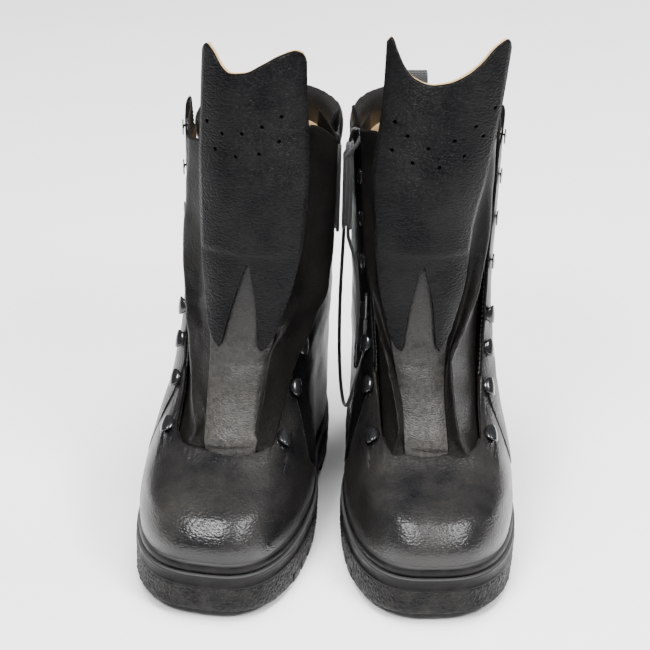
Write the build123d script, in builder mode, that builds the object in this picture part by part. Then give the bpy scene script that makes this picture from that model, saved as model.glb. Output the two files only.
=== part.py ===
"""Pair of lace-up fire boots, standing side by side with their laces undone.

Each boot is made in its own frame: toe towards -Y, floor at z = 0, the inner (medial) side
of the foot towards +X. The wearer's left boot is the mirror image. Both are then turned out
a little and set on the floor, with the origin at the middle of the pair's footprint.
Millimetres throughout.
"""
from build123d import *
import math
import os

# ---- driving dimensions -------------------------------------------------------------------
SOLE_LENGTH = 308.0
SOLE_HALF_WIDTH = 56.0
TREAD_TOP = 21.0          # top of the lugged outsole
BAND_TOP = 29.0           # top of the midsole's smooth band
WELT_TOP = 38.0           # top of the bead around the upper
QUARTER_TOP = 271.0       # top of the quarters at the lace facings
COLLAR_BOTTOM = 232.0     # the padded collar lies lower, behind the facings
COLLAR_TOP = 260.0
FACING_END = 44.0         # how far back the lace facings reach
TONGUE_TOP = 352.0
LEATHER = 2.2
STIFFENER = 1.8           # toe cap and heel counter share the space inside the leather
LINING = 1.2
GAP = 0.25                # between glued layers
THROAT_Z = 86.0           # bottom of the U-shaped throat
HINGE_Y = -92.0           # where the tongue bends out of the throat
HINGE_Z = 88.0
LACE = 2.4                # lace diameter
PAIR = {                  # side: mirror sign, place and turn on the floor
    "right": (1, -56.9, -1.0, -9.5),
    "left": (-1, 62.2, 3.0, 4.8),
}
# sideways lean of each tongue (towards the medial side) at its foot, middle and top
LEAN = {"right": (9.5, 12.0, 8.0), "left": (8.0, 9.0, -4.0)}
# how far each bellows' fold stands out past its quarter's edge: medial, lateral
WING_SPREAD = {"right": (15.0, 6.0), "left": (5.0, 2.0)}

# Upper's outer surface: height, front, back, half width, toe-to-heel taper, bluntness
UPPER = (
    (26.0, -147.5, 144.0, 50.5, 0.19, 0.68),
    (46.0, -149.0, 146.0, 52.0, 0.19, 0.68),
    (62.0, -140.0, 144.5, 50.5, 0.18, 0.64),
    (76.0, -114.0, 141.0, 48.5, 0.19, 0.68),
    (92.0, -84.0, 138.5, 46.0, 0.13, 0.54),
    (110.0, -62.0, 136.0, 44.5, 0.08, 0.57),
    (140.0, -42.0, 133.0, 43.5, 0.03, 0.66),
    (190.0, -27.0, 128.0, 45.0, 0.00, 0.83),
    (285.0, -20.0, 122.0, 48.0, 0.00, 0.90),
)
# Tongue's front face: height, distance forward, how far its edges curl back, half width
TONGUE = (
    (89.0, -92.0, 3.0, 24.0),
    (120.0, -78.5, 6.0, 23.0),
    (155.0, -68.0, 9.0, 24.0),
    (203.0, -59.0, 12.0, 28.0),
    (260.0, -48.0, 13.0, 32.0),
    (352.0, -31.0, 15.0, 35.0),
)
# Free stretches of the laces, on the floor's frame
RIGHT_LACE_ROUTE = (
    (-1.5, 8.6, 250.4), (-6.7, 7.6, 257.5), (-8.9, 9.8, 262.9), (-5.2, 19.1, 262.9),
    (-3.3, 25.6, 259.5), (0.2, 33.1, 256.0), (1.2, 36.7, 246.0), (1.5, 37.3, 230.0),
    (1.3, 37.1, 214.0),
)
LEFT_LACE_ROUTE = (
    (21.6, -9.8, 144.0), (21.6, -9.6, 132.4), (21.9, -15.0, 126.5), (20.3, -13.2, 115.0),
    (16.3, -5.0, 97.0), (13.3, 5.0, 77.0), (11.1, 18.0, 64.0), (8.7, 31.5, 61.0),
    (6.3, 40.5, 76.0), (5.0, 44.5, 100.0), (4.6, 45.9, 135.0), (5.7, 45.5, 175.0),
    (6.3, 45.9, 215.0), (7.2, 44.9, 243.0), (9.3, 39.5, 257.0), (12.3, 27.3, 262.9),
    (15.2, 17.7, 262.9), (13.0, 14.3, 257.5), (7.7, 14.0, 250.4),
)
LEFT_TAIL_ROUTE = (
    (7.9, 18.5, 192.0), (9.5, 17.3, 187.0), (13.3, 13.5, 177.0), (15.5, 9.2, 164.5),
    (16.4, 7.2, 150.0), (16.8, 7.0, 134.0), (16.4, 7.4, 118.0),
)
HANK_X = {"right": -1.0, "left": 6.9}
HANK_LAYERS = 3            # turns lying side by side
HANK_BUILD = 3            # turns lying one inside another
HANK_CENTRE_Y = {"right": 19.6, "left": 25.0}
HANK_CENTRE_Z = 223.0
HANK_WIDTH = 27.0
HANK_HEIGHT = 62.0
AGLET_LENGTH = 18.0
LUG_HEIGHTS = (90.0, 110.0, 129.0, 147.0)      # riveted closed lace lugs
HOOK_HEIGHTS = (178.0, 206.0, 234.0, 260.0)    # open lace hooks above them


def between(table, height):
    """Values of a table at a height, straight between its rows."""
    rows = list(table)
    for low, high in zip(rows, rows[1:]):
        if height <= high[0]:
            break
    part = max(0.0, min(1.0, (height - low[0]) / (high[0] - low[0])))
    return [a + (b - a) * part for a, b in zip(low[1:], high[1:])]


def footprint(front, back, half, taper, blunt, inset=0.0, count=18):
    """Closed foot-shaped outline, fuller towards the big toe and waisted at the arch."""
    middle = (front + back) / 2
    reach = (back - front) / 2 - inset
    outline = []
    for step in range(count):
        turn = 2 * math.pi * (step + 0.5) / count
        along, across = math.cos(turn), math.sin(turn)
        y = middle - reach * along
        x = math.copysign(abs(across) ** blunt, across) * (1 + taper * along) * (half - inset)
        x += 30 * taper * max(0.0, along) ** 2
        if across > 0:
            x -= 40 * taper * math.exp(-((y - 25) / 45) ** 2)
        outline.append((x, y))
    return outline


def upper_section(height, inset):
    """Outline of the upper at a height, moved inside its outer surface."""
    return footprint(*between(UPPER, height + inset), inset)


def throat_half_width(height):
    """Half width of the front opening, which spreads towards the top."""
    return 33.0 + 9.0 * (height - THROAT_Z) / (QUARTER_TOP - THROAT_Z)


def throat_middle(height):
    """How far the opening's middle lies towards the inner side of the foot."""
    return 2.0 * (QUARTER_TOP - height) / (QUARTER_TOP - THROAT_Z)


def edge_point(height, side, setback=0.0):
    """Point on the upper's surface, setback behind the front opening's edge."""
    outline = [p for p in upper_section(height, 0) if p[0] * side > 0]
    outline.sort(key=lambda p: p[1])
    limit = throat_half_width(height) + side * throat_middle(height)
    for first, second in zip(outline, outline[1:]):
        if abs(second[0]) >= limit:
            break
    part = (limit - abs(first[0])) / (abs(second[0]) - abs(first[0]))
    part = max(0.0, min(1.0, part))
    y = first[1] + (second[1] - first[1]) * part + setback
    for first, second in zip(outline, outline[1:]):
        if second[1] >= y:
            break
    part = (y - first[1]) / (second[1] - first[1])
    return Vector(first[0] + (second[0] - first[0]) * part, y, height)


def edge_plane(height, side, setback):
    """Plane on the upper's surface beside the front opening, facing outwards."""
    here = edge_point(height, side, setback)
    ahead = edge_point(height, side, setback + 4)
    above = edge_point(height + 4, side, setback)
    normal = (ahead - here).cross(above - here) * side
    return Plane(origin=here, x_dir=above - here, z_dir=normal)


# ---- the sole ------------------------------------------------------------------------------
def slab(bottom, top, inset):
    """Flat layer of the sole."""
    half = SOLE_LENGTH / 2
    with BuildPart() as layer:
        with BuildSketch(Plane.XY.offset(bottom)):
            with BuildLine():
                Spline(*footprint(-half, half, SOLE_HALF_WIDTH, 0.19, 0.68, inset), periodic=True)
            make_face()
        extrude(amount=top - bottom)
    return layer.part


def make_outsole():
    half = SOLE_LENGTH / 2
    lug_depth = 6.0
    heel_breast = 48.0
    with BuildPart() as outsole:
        add(slab(0, TREAD_TOP, 0))
        with BuildSketch(Plane.YZ) as toe_spring:
            with BuildLine():
                rise = ThreePointArc((-85, 0), (-122, 1.8), (-half - 1, 7.5))
                Polyline(rise @ 1, (-half - 1, -1), (-85, -1), rise @ 0)
            make_face()
        extrude(amount=80, both=True, mode=Mode.SUBTRACT)
        with BuildSketch(Plane.YZ) as waist:
            with BuildLine():
                Polyline((heel_breast, -1), (heel_breast - 4, 8), (22, 5), (8, -1), close=True)
            make_face()
        extrude(amount=80, both=True, mode=Mode.SUBTRACT)
        with BuildSketch(Plane.XY):
            with Locations(*[(0, -128 + 16 * i) for i in range(9)]):
                Rectangle(130, 5)
            with Locations(*[(0, 68 + 18 * i) for i in range(5)]):
                Rectangle(130, 5)
            with Locations((0, -60)):
                Rectangle(6, 130)
        extrude(amount=lug_depth, mode=Mode.SUBTRACT)
    return outsole.part


def make_welt():
    """Ring with a rounded bead that covers the join of sole and upper."""
    half = SOLE_LENGTH / 2
    with BuildPart() as welt:
        add(slab(BAND_TOP, WELT_TOP, 1.5))
        with BuildSketch(Plane.XY.offset(BAND_TOP)):
            with BuildLine():
                Spline(*footprint(-half, half, SOLE_HALF_WIDTH, 0.19, 0.68, 8.5), periodic=True)
            make_face()
        extrude(amount=WELT_TOP - BAND_TOP, mode=Mode.SUBTRACT)
        add(upper_solid(-GAP, BAND_TOP - 1, WELT_TOP + 1), mode=Mode.SUBTRACT)
    return welt.part


def insole_layer(bottom, thickness, inset):
    """Flat sheet that fills the upper's inside at a height."""
    with BuildPart() as sheet:
        with BuildSketch(Plane.XY.offset(bottom)):
            with BuildLine():
                Spline(*footprint(*UPPER[0][1:], inset), periodic=True)
            make_face()
        extrude(amount=thickness)
    return sheet.part


# ---- the upper -----------------------------------------------------------------------------
def upper_solid(inset, bottom, top):
    """Solid inside the upper's surface, lofted through its horizontal sections."""
    heights = [bottom] + [row[0] for row in UPPER if bottom + 4 < row[0] < top - 4] + [top]
    with BuildPart() as body:
        for height in heights:
            with BuildSketch(Plane.XY.offset(height)):
                with BuildLine():
                    Spline(*upper_section(height, inset), periodic=True)
                make_face()
        loft(ruled=True)
    return body.part


def upper_layer(outer, inner, bottom, top):
    """Shell between two insets of the upper."""
    with BuildPart() as shell:
        add(upper_solid(outer, bottom, top))
        add(upper_solid(inner, bottom - 2, top + 2), mode=Mode.SUBTRACT)
    return shell.part


def side_prism(*outline):
    """Block right across the boot with the given side view (y, z)."""
    with BuildPart() as block:
        with BuildSketch(Plane.YZ):
            with BuildLine():
                Polyline(*outline, close=True)
            make_face()
        extrude(amount=90, both=True)
    return block.part


def throat_prism():
    """Block that opens the front of the boot from the throat to the collar."""
    bottom, top = throat_half_width(THROAT_Z), throat_half_width(QUARTER_TOP)
    low_middle = throat_middle(THROAT_Z)
    with BuildPart() as block:
        with BuildSketch(Plane.XZ.offset(-40)):
            with BuildLine():
                Polyline(
                    (low_middle - bottom, THROAT_Z), (low_middle + bottom, THROAT_Z),
                    (top, QUARTER_TOP), (top, QUARTER_TOP + 20),
                    (-top, QUARTER_TOP + 20), (-top, QUARTER_TOP), close=True,
                )
            make_face()
        extrude(amount=220)
    return block.part


# Side views of the vamp and the quarters, either side of the seam that joins them
VAMP_REGION = ((-170, 20), (32, 20), (12, 60), (-26, 104), (-44, 120), (-170, 120))
QUARTER_REGION = (
    (32.3, 20), (12.3, 60.3), (-25.7, 104.3), (-43.7, 120.3), (-170, 120.3),
    (-170, 290), (170, 290), (170, 20),
)


def make_vamp(leather, rivets):
    with BuildPart() as vamp:
        add(leather)
        add(side_prism(*VAMP_REGION), mode=Mode.INTERSECT)
        add(throat_prism(), mode=Mode.SUBTRACT)
        add(rivets, mode=Mode.SUBTRACT)
    return vamp.part


def heel_cover_block(clearance):
    """Block around the outside heel cover and the strip that rises from it."""
    with BuildPart() as block:
        with BuildSketch(Plane.YZ):
            with BuildLine():
                Polyline(
                    (78 - clearance, 20), (96 - clearance, 78 + clearance),
                    (170, 90 + clearance), (170, 20), close=True,
                )
            make_face()
        extrude(amount=90, both=True)
        with BuildSketch(Plane.XY.offset(60)):
            with Locations((0, 130)):
                Rectangle(26 + 2 * clearance, 70)
        extrude(amount=QUARTER_TOP)
    return block.part


def make_quarter(leather, side, rivets):
    with BuildPart() as quarter:
        add(leather)
        add(side_prism(*QUARTER_REGION), mode=Mode.INTERSECT)
        add(throat_prism(), mode=Mode.SUBTRACT)
        add(heel_cover_block(0.2), mode=Mode.SUBTRACT)
        add(collar_block(0.2), mode=Mode.SUBTRACT)
        with BuildSketch(Plane.XY.offset(10)):
            with Locations((side * 60, 20)):
                Rectangle(120, 320)
        extrude(amount=QUARTER_TOP, mode=Mode.INTERSECT)
        add(rivets, mode=Mode.SUBTRACT)
    return quarter.part


def make_backstay(leather):
    """Outside heel cover and the strip that rises from it to the collar."""
    with BuildPart() as backstay:
        add(leather)
        add(heel_cover_block(0), mode=Mode.INTERSECT)
        add(collar_block(0.2), mode=Mode.SUBTRACT)
    return backstay.part


def make_toe_cap(stiffener, leather):
    with BuildPart() as toe_cap:
        add(stiffener)
        add(side_prism((-170, 20), (-98, 20), (-98, 140), (-170, 140)), mode=Mode.INTERSECT)
        add(leather, mode=Mode.SUBTRACT)
    return toe_cap.part


def make_heel_counter(stiffener):
    with BuildPart() as counter:
        add(stiffener)
        add(side_prism((62, 20), (90, 95), (170, 95), (170, 20)), mode=Mode.INTERSECT)
    return counter.part


def make_lining():
    outer = LEATHER + STIFFENER + 2 * GAP
    with BuildPart() as lining:
        add(upper_layer(outer, outer + LINING, BAND_TOP + 4, COLLAR_BOTTOM - 1))
        add(throat_prism(), mode=Mode.SUBTRACT)
    return lining.part


def collar_block(clearance):
    """Space behind the lace facings that the padded collar takes at the top."""
    front, bottom = FACING_END - clearance, COLLAR_BOTTOM - clearance
    return side_prism((front, bottom), (170, bottom), (170, 300), (front, 300))


def make_collar():
    """Padded roll around the top, thicker than the quarters on both faces."""
    with BuildPart() as collar:
        add(upper_layer(-2.0, 7.0, COLLAR_BOTTOM, COLLAR_TOP))
        add(collar_block(0), mode=Mode.INTERSECT)
    return collar.part


def make_pull_loop():
    """Webbing loop sewn down the back of the boot, standing open above the collar."""
    web = 1.6
    near = UPPER[-2][2] + web / 2 + 0.5
    far = near + web + GAP
    with BuildPart() as loop:
        with BuildSketch(Plane.YZ):
            with BuildLine():
                Polyline(
                    (near, 191), (near, 250), (near + 3, 261), (near + 8, 263),
                    (near + 12, 256), (near + 10, 242), (far, 224), (far, 191),
                )
            trace(line_width=web)
        extrude(amount=9, both=True)
    return loop.part


# ---- the tongue ----------------------------------------------------------------------------
def tongue_centre(height, lean):
    foot, middle, top = lean
    return between(((89, foot), (240, middle), (TONGUE_TOP, top)), height)[0]


def tongue_layer(front, back, bottom, lean, trim=0.0):
    """Curved sheet that follows the tongue, between two depths behind its front face."""
    heights = [bottom] + [row[0] for row in TONGUE if row[0] > bottom + 4]
    with BuildPart() as sheet:
        for height in heights:
            forward, curl, half = between(TONGUE, height)
            half -= trim
            centre = tongue_centre(height, lean)
            with BuildSketch(Plane.XY.offset(height)):
                with BuildLine():
                    near = ThreePointArc(
                        (centre - half, forward + curl + front), (centre, forward + front),
                        (centre + half, forward + curl + front),
                    )
                    far = ThreePointArc(
                        (centre + half, forward + curl + back), (centre, forward + back),
                        (centre - half, forward + curl + back),
                    )
                    Line(near @ 1, far @ 0)
                    Line(far @ 1, near @ 0)
                make_face()
        loft(ruled=True)
    return sheet.part


def scalloped_top(lean, drop):
    """Block that cuts the tongue's top edge down to a dip between two horns."""
    centre = tongue_centre(TONGUE_TOP, lean)
    with BuildPart() as block:
        with BuildSketch(Plane.XZ.offset(-40)):
            with BuildLine():
                dip = ThreePointArc(
                    (centre - 40, TONGUE_TOP - drop), (centre, TONGUE_TOP - 26 - drop),
                    (centre + 40, TONGUE_TOP - drop),
                )
                Polyline(
                    dip @ 1, (centre + 40, TONGUE_TOP + 5), (centre - 40, TONGUE_TOP + 5), dip @ 0,
                )
            make_face()
        extrude(amount=160)
    return block.part


def make_tongue(lean):
    with BuildPart() as tongue:
        add(tongue_layer(0, 1.7, HINGE_Z + 1, lean))
        add(scalloped_top(lean, 2), mode=Mode.SUBTRACT)
    return tongue.part


def make_tongue_lining(lean):
    with BuildPart() as lining:
        add(tongue_layer(1.85, 3.1, HINGE_Z + 4, lean, 1.0))
        add(scalloped_top(lean, 1), mode=Mode.SUBTRACT)
    return lining.part


def make_tongue_shield(lean):
    """Stiff outer guard with two lobes at its foot, a tall V between them and air holes."""
    foot = 148.0
    with BuildPart() as shield:
        add(tongue_layer(-2.6, -GAP, foot, lean))
        add(scalloped_top(lean, 0), mode=Mode.SUBTRACT)
        centre = tongue_centre(foot, lean)
        with BuildSketch(Plane.XZ.offset(-40)):
            with BuildLine():
                Polyline(
                    (centre - 14, foot - 1), (centre - 1.5, 205), (centre + 1.5, 205),
                    (centre + 14, foot - 1), close=True,
                )
            make_face()
        extrude(amount=160, mode=Mode.SUBTRACT)
        with BuildSketch(Plane.XZ.offset(-40)):
            for row, count, pitch in ((296, 5, 13.5), (284, 4, 12.0)):
                middle = tongue_centre(row, lean)
                with Locations(*[
                    (middle + pitch * (i - (count - 1) / 2), row - 1.6 * (count - 1 - 2 * min(i, count - 1 - i)) / 2)
                    for i in range(count)
                ]):
                    Circle(1.0)
        extrude(amount=160, mode=Mode.SUBTRACT)
    return shield.part


def make_bellows(side, lean, spread):
    """Folded gusset between the tongue's edge and the quarter's front edge."""
    levels = (100, 125, 155, 200, 262)
    with BuildPart() as bellows:
        for height in levels:
            forward, curl, half = between(TONGUE, height)
            centre = tongue_centre(height, lean)
            edge = edge_point(height, side)
            inner = side * max(half + side * centre + 2.0, 0)
            outer_shift = spread * (height - 80) / (262 - 80)
            with BuildSketch(Plane.XY.offset(height)):
                with BuildLine():
                    Polyline(
                        (inner, forward + curl + 1),
                        (edge.X + side * outer_shift, edge.Y - 4),
                        (edge.X, edge.Y - 2), close=True,
                    )
                make_face()
        loft(ruled=True)
    return bellows.part


# ---- lace fittings -------------------------------------------------------------------------
def make_lugs(side, foot):
    """Closed lace lugs: a riveted foot, shaped to the leather, with an arch standing out of it."""
    with BuildPart() as lugs:
        for height in LUG_HEIGHTS:
            plane = edge_plane(height, side, 9.0)
            with BuildSketch(plane.offset(GAP)):
                SlotOverall(13, 9)
            extrude(amount=1.0)
            arch = Plane(plane.from_local_coords((0, 0, 1.1)), x_dir=plane.y_dir, z_dir=plane.x_dir)
            with BuildSketch(arch.offset(-2.2)):
                with BuildLine():
                    outer = ThreePointArc((-4.4, 0), (0, 5.6), (4.4, 0))
                    inner = ThreePointArc((2.6, 0), (0, 3.6), (-2.6, 0))
                    Line(outer @ 1, inner @ 0)
                    Line(inner @ 1, outer @ 0)
                make_face()
            extrude(amount=4.4)
        add(foot, mode=Mode.SUBTRACT)
    return lugs.part


def make_hooks(side, foot):
    """Open lace hooks: a riveted foot, shaped to the leather, with a neck and a lip over it."""
    with BuildPart() as hooks:
        for height in HOOK_HEIGHTS:
            plane = edge_plane(height, side, 8.0)
            with BuildSketch(plane.offset(GAP)):
                SlotOverall(12, 8)
            extrude(amount=1.0)
            with BuildSketch(plane.offset(GAP + 1.0)):
                Circle(1.5)
            extrude(amount=2.8)
            with BuildSketch(plane.offset(GAP + 3.8)):
                SlotOverall(10, 6)
            extrude(amount=0.8)
        add(foot, mode=Mode.SUBTRACT)
    return hooks.part


def make_rivets(side):
    """Rivets that hold the lugs and hooks, each with a flat head inside the leather."""
    with BuildPart() as rivets:
        for height, setback in [(h, 9.0) for h in LUG_HEIGHTS] + [(h, 8.0) for h in HOOK_HEIGHTS]:
            plane = edge_plane(height, side, setback)
            with BuildSketch(plane.offset(GAP)):
                Circle(1.2)
            extrude(amount=-LEATHER - 2 * GAP)
            with BuildSketch(plane.offset(-LEATHER - GAP)):
                Circle(2.6)
            extrude(amount=-0.7)
    return rivets.part


# ---- laces ---------------------------------------------------------------------------------
def make_lace(route):
    """Free stretch of lace along a route, its corners rounded as widely as the runs allow."""
    corners = [Vector(*point) for point in route]
    radii = []
    for before, corner, after in zip(corners, corners[1:], corners[2:]):
        turn = math.radians((corner - before).get_angle(after - corner))
        run = min((corner - before).length, (after - corner).length)
        radii.append(0.45 * run / math.tan(turn / 2))
    with BuildPart() as lace:
        with BuildLine() as path:
            FilletPolyline(*corners, radius=radii)
        with BuildSketch(Plane(origin=path.line @ 0, z_dir=path.line % 0)):
            Circle(LACE / 2)
        sweep()
    length = sum(edge.length for edge in path.line.edges())
    ratio = lace.part.volume / (math.pi * (LACE / 2) ** 2 * length)
    print("lace", round(length, 1), "mm; volume over section times length", round(ratio, 3))
    print("  radii", [round(radius, 1) for radius in radii])
    return lace.part


def make_hank(centre_x, centre_y):
    """Outer shape of a wound hank, a flat ring taller than it is wide."""
    thickness = HANK_LAYERS * LACE + 0.2
    build = HANK_BUILD * LACE + 0.2
    with BuildPart() as hank:
        with BuildSketch(Plane.YZ.offset(centre_x - thickness / 2)):
            with Locations((centre_y, HANK_CENTRE_Z)):
                SlotOverall(HANK_HEIGHT, HANK_WIDTH, rotation=90)
                SlotOverall(
                    HANK_HEIGHT - 2 * build, HANK_WIDTH - 2 * build, rotation=90, mode=Mode.SUBTRACT
                )
        extrude(amount=thickness)
    return hank.part


def make_aglet(end, heading):
    """Crimped tip that carries on from the end of a lace."""
    with BuildPart() as aglet:
        with BuildSketch(Plane(origin=end, z_dir=heading)):
            Circle(LACE / 2 + 0.1)
        extrude(amount=AGLET_LENGTH)
    return aglet.part


# ---- placing and writing -------------------------------------------------------------------
def place(piece, side):
    """Turn a boot's piece out of its own frame onto the floor."""
    mirrored, x, y, turn = PAIR[side]
    if mirrored < 0:
        piece = mirror(piece, about=Plane.YZ)
    return Location((x, y, 0), (0, 0, turn)) * piece


def write(piece, name):
    piece.label = name
    export_step(piece, f"parts/{name}.step")


def make_boot(side):
    lean = LEAN[side]
    leather = upper_layer(0, LEATHER, BAND_TOP + GAP, QUARTER_TOP)
    stiffener = upper_layer(LEATHER + GAP, LEATHER + GAP + STIFFENER, BAND_TOP + 4, 130)
    medial_rivets = make_rivets(1)
    lateral_rivets = make_rivets(-1)
    with BuildPart() as rivets:
        add(medial_rivets)
        add(lateral_rivets)
    with BuildPart() as under_fittings:
        add(upper_solid(-0.05, BAND_TOP + GAP, QUARTER_TOP))
        add(rivets.part)
    foot = under_fittings.part
    pieces = {
        "outsole": make_outsole(),
        "midsole": slab(TREAD_TOP, BAND_TOP, 0.8),
        "welt": make_welt(),
        "puncture_plate": insole_layer(BAND_TOP + GAP, 0.8, 3.0),
        "insole_board": insole_layer(BAND_TOP + 1.1, 2.4, 3.0),
        "footbed": insole_layer(BAND_TOP + 4.2, 4.5, 8.0),
        "vamp": make_vamp(leather, rivets.part),
        "medial_quarter": make_quarter(leather, 1, medial_rivets),
        "lateral_quarter": make_quarter(leather, -1, lateral_rivets),
        "backstay": make_backstay(leather),
        "toe_cap": make_toe_cap(stiffener, leather),
        "heel_counter": make_heel_counter(stiffener),
        "lining": make_lining(),
        "collar": make_collar(),
        "pull_loop": make_pull_loop(),
        "tongue": make_tongue(lean),
        "tongue_lining": make_tongue_lining(lean),
        "tongue_shield": make_tongue_shield(lean),
        "medial_bellows": make_bellows(1, lean, WING_SPREAD[side][0]),
        "lateral_bellows": make_bellows(-1, lean, WING_SPREAD[side][1]),
        "medial_lugs": make_lugs(1, foot),
        "lateral_lugs": make_lugs(-1, foot),
        "hooks": Compound([make_hooks(1, foot), make_hooks(-1, foot)]),
        "rivets": rivets.part,
    }
    for name, piece in pieces.items():
        write(place(piece, side), f"{side}_{name}")


def make_laces():
    down = Vector(0, 0, -1)
    right_lace = make_lace(RIGHT_LACE_ROUTE)
    write(right_lace, "right_lace")
    write(make_aglet(Vector(*RIGHT_LACE_ROUTE[-1]), down), "right_aglet")
    write(make_lace(LEFT_LACE_ROUTE), "left_lace")
    write(make_lace(LEFT_TAIL_ROUTE), "left_lace_tail")
    write(make_aglet(Vector(*LEFT_LACE_ROUTE[0]), -down), "left_aglet_inner")
    write(make_aglet(Vector(*LEFT_TAIL_ROUTE[-1]), down), "left_aglet")
    for side in PAIR:
        write(make_hank(HANK_X[side], HANK_CENTRE_Y[side]), f"{side}_lace_hank")


os.makedirs("parts", exist_ok=True)
for boot in PAIR:
    make_boot(boot)
make_laces()
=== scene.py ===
"""Looks of the pair of lace-up fire boots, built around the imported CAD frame.

Shapes are worked out in millimetres in each boot's own frame: toe towards -Y, floor at z = 0,
the inner (medial) side towards +X. place() turns them out onto the floor, in metres.
"""
import math

import bmesh
import bpy
import numpy as np
from mathutils import Matrix, Vector, noise


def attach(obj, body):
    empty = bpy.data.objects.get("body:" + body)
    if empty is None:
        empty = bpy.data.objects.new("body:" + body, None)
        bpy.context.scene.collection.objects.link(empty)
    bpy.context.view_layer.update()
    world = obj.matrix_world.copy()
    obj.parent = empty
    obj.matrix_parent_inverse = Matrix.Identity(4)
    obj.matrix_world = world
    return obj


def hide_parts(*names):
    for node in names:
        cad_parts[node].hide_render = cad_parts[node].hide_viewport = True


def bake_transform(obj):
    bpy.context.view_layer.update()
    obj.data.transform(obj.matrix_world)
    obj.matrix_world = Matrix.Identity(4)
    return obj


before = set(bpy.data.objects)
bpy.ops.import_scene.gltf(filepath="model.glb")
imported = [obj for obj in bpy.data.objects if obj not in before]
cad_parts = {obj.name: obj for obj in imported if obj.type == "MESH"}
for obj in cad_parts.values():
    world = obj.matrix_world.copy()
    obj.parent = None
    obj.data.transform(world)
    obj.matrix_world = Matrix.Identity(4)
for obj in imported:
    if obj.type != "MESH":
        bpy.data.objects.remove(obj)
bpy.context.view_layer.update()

MM = 0.001

# ---- driving sizes, millimetres -----------------------------------------------------------
# side: mirror sign, place on the floor and turn in degrees
SIDES = {"right": (1, -56.9, -1.0, -9.5), "left": (-1, 62.2, 3.0, 4.8)}
NAMES = {1: "medial", -1: "lateral"}
HALF_SOLE = 154.0
SOLE_HALF_WIDTH = 56.0
LUG_DEPTH = 9.0
TREAD_TOP = 21.0
BAND_TOP = 29.5
QUARTER_TOP = 271.0
COLLAR_START = 1.60       # turn, in radians from the toe, where the collar's roll begins
COLLAR_BOTTOM = 232.0
COLLAR_TOP = 260.0
LEATHER = 2.2
THROAT_Z = 87.0
THROAT_X = 3.0
SEAM_TOP = 120.0          # where the vamp's side seam meets the throat's edge
HEEL_BACK = 2.95          # turn, in radians from the toe, where the quarters meet the backstay
LACE = 2.4
AGLET_LENGTH = 18.0

# Upper's outer surface: height, front, back, half width, toe-to-heel taper, bluntness
UPPER = (
    (26.0, -147.5, 144.0, 50.5, 0.19, 0.70),
    (46.0, -149.0, 146.0, 52.0, 0.19, 0.70),
    (62.0, -140.0, 144.5, 50.5, 0.18, 0.66),
    (76.0, -114.0, 141.0, 48.5, 0.16, 0.59),
    (92.0, -84.0, 138.5, 46.0, 0.13, 0.55),
    (110.0, -62.0, 136.0, 44.5, 0.08, 0.57),
    (140.0, -42.0, 133.0, 43.5, 0.03, 0.66),
    (190.0, -27.0, 128.0, 45.0, 0.00, 0.83),
    (285.0, -20.0, 122.0, 48.0, 0.00, 0.90),
)
# Tongue's front: height, distance forward
TONGUE_FRONT = ((86, -93.5), (93, -95.0), (105, -89.0), (120, -80.5), (155, -68.5), (203, -59.0),
                (260, -48.0), (345, -31.0))
# Tongue's middle and half width: height, middle, half width
TONGUE_WIDTH = {
    "right": ((86, 9.5, 15), (106, 10, 17), (150, 10, 19), (188, 12, 27), (214, 12.5, 31),
              (268, 11, 33.5), (311, 8.5, 32), (345, 7, 31)),
    "left": ((86, 8, 13), (114, 10, 13), (154, 12.5, 17), (190, 11.5, 26), (225, 11, 30),
             (260, 7.5, 35), (300, 1, 36), (345, -3.5, 38)),
}
# Scalloped top edge of the shield: place across it (-1 to 1), height
SHIELD_TOP = {
    "right": ((-1, 331), (-0.93, 334.5), (-0.8, 332), (-0.6, 324.5), (-0.4, 320.5), (-0.1, 322),
              (0.25, 328), (0.55, 333), (0.8, 335), (0.94, 333), (1, 328)),
    "left": ((-1, 336), (-0.93, 341), (-0.75, 338), (-0.53, 329.5), (-0.3, 323), (0, 318),
             (0.28, 316.5), (0.55, 319.5), (0.72, 326), (0.86, 336), (0.94, 342), (1, 339)),
}
# Air holes: place across the shield, height
HOLES = {
    "right": ((-0.87, 289), (-0.54, 284.5), (-0.14, 286.5), (0.24, 291.5), (0.6, 297.5),
              (-0.68, 274), (-0.26, 272), (0.18, 275), (0.54, 282.5)),
    "left": ((0.81, 293), (0.57, 286), (0.18, 279.5), (-0.26, 284), (-0.6, 291.5), (-0.9, 301),
             (0.78, 276), (0.4, 270), (-0.08, 268), (-0.49, 274), (-0.78, 284.5)),
}
# Bellows: height, then sideways place and distance forward of the outer fold and inner fold
BELLOWS = {
    ("right", 1): ((86, 35, -86, 28, -89), (104, 38, -69, 26, -94), (125, 41, -46, 28, -86),
                   (148, 48, -18, 30, -72), (168, 55, -2, 41, -42), (200, 57, 8, 41, -24),
                   (280, 58, 13, 40, -4)),
    ("right", -1): ((86, -20, -89, -12, -92), (102, -13, -93, -9, -85), (118, -22, -66, -14, -70),
                    (146, -30, -43, -18, -52), (176, -37, -23, -23, -34), (202, -41, -10, -24, -26),
                    (270, -40, -1, -27, -15)),
    ("left", 1): ((86, 31, -91, 24, -94), (107, 27, -98, 23, -88), (128, 30, -83, 25, -72),
                  (146, 34, -65, 30, -56), (168, 41, -38, 36, -36), (196, 45, -11, 38, -26),
                  (276, 49, 4, 38, -14)),
    ("left", -1): ((86, -20, -94, -11, -96), (102, -12, -99, -7, -89), (124, -8, -87, -6, -73),
                   (143, -7, -73, -8, -60), (158, -17, -56, -14, -48), (182, -28, -41, -20, -36),
                   (214, -35, -24, -24, -28), (274, -39, -4, -32, -18)),
}
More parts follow.
